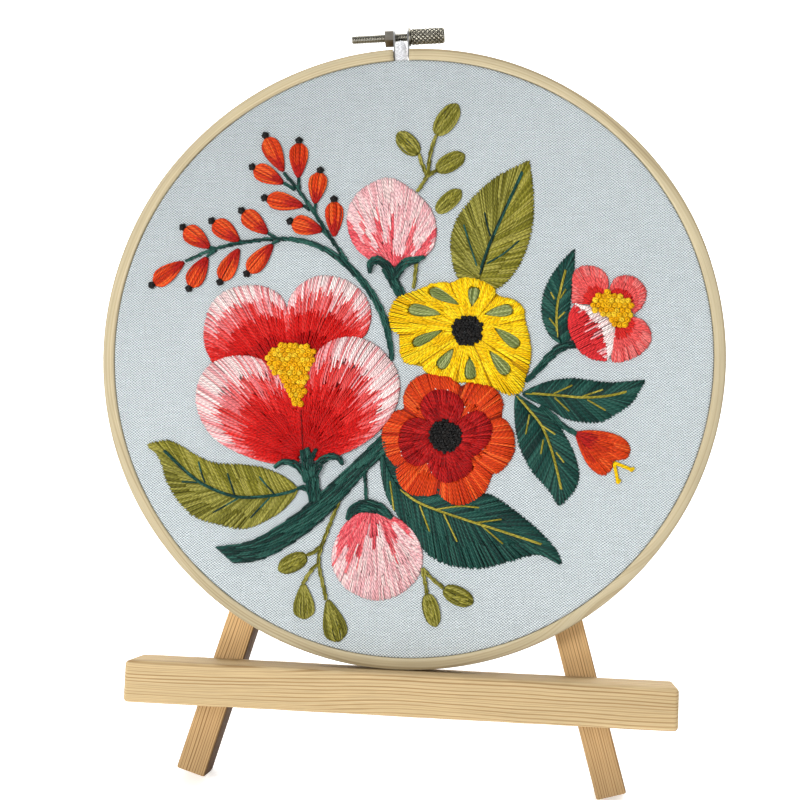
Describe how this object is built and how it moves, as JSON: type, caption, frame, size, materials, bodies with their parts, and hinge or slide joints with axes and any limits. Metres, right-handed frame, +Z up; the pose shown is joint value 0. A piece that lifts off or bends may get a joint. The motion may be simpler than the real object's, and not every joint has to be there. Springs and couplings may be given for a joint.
{
  "type": "embroidery hoop on stand",
  "caption": "Round wooden embroidery hoop with stretched, flower-embroidered linen and a screw clamp, resting on a small folding wooden easel.",
  "frame": {"origin": "middle of the object's footprint on the table, at table height", "axes": "+Z up, -Y towards the worked face of the cloth, +X to the viewer's right"},
  "size_m": [0.207, 0.1535, 0.2502],
  "materials": {
    "bamboo": "satin",
    "pine": "matte",
    "linen": "plain weave",
    "coral_thread": "satin stitch",
    "yellow_thread": "satin stitch",
    "orange_thread": "satin stitch",
    "pink_thread": "satin stitch",
    "olive_thread": "satin stitch",
    "dark_green_thread": "satin stitch",
    "nickel_sheet": "bright",
    "dark_nickel": "knurled, darkened",
    "brass": "satin",
    "zinc": "zinc plated"
  },
  "bodies": {
    "easel_frame": {"ledge": "pine", "left_front_leg": "pine", "right_front_leg": "pine", "top_crossbar": "pine", "hinge_front_leaf": "brass", "hinge_pin": "brass", "ledge_screws": "zinc", "crossbar_screws": "zinc", "hinge_frame_screws": "brass"},
    "rear_leg": {"rear_leg": "pine", "hinge_rear_leaf": "brass", "hinge_leg_screws": "brass"},
    "hoop_outer": {"outer_ring": "bamboo", "left_bracket": "nickel_sheet", "right_bracket": "nickel_sheet", "bracket_brads": "nickel_sheet", "clamp_nut": "nickel_sheet"},
    "hoop_inner": {"inner_ring": "bamboo", "linen_face": "linen", "linen_edge": "linen", "big_flower_stitches": "coral_thread", "yellow_flower_stitches": "yellow_thread", "orange_flower_stitches": "orange_thread", "bud_stitches": "pink_thread", "berry_stitches": "orange_thread", "olive_leaf_stitches": "olive_thread", "dark_leaf_stitches": "dark_green_thread", "stem_stitches": "dark_green_thread"},
    "screw_washer": {"screw_washer": "dark_nickel"},
    "thumb_screw": {"thumb_screw": "dark_nickel"}
  },
  "joints": [
    {"name": "rear_leg_fold", "type": "hinge", "parent": "easel_frame", "child": "rear_leg", "pos_m": [0.0014, 0.00116, 0.16897], "axis": [-1, 0, 0], "range_deg": [0, 42]},
    {"name": "hoop_lift", "type": "slide", "parent": "easel_frame", "child": "hoop_outer", "axis": [0, 0.2588, 0.9659], "range_m": [0, 0.1]},
    {"name": "inner_ring_release", "type": "slide", "parent": "hoop_outer", "child": "hoop_inner", "axis": [0, -0.9659, 0.2588], "range_m": [0, 0.03]},
    {"name": "clamp_screw_travel", "type": "slide", "parent": "hoop_outer", "child": "screw_washer", "axis": [0.9979, 0.0167, 0.0623], "range_m": [0, 0.0025]},
    {"name": "clamp_screw_turn", "type": "hinge", "parent": "screw_washer", "child": "thumb_screw", "pos_m": [-0.00703, -0.00394, 0.2465], "axis": [0.9979, 0.0167, 0.0623], "range_deg": [0, 1800]}
  ],
  "couplings": [
    {"joint": "clamp_screw_turn", "follows": "clamp_screw_travel", "rad_per_m": 12566}
  ]
}
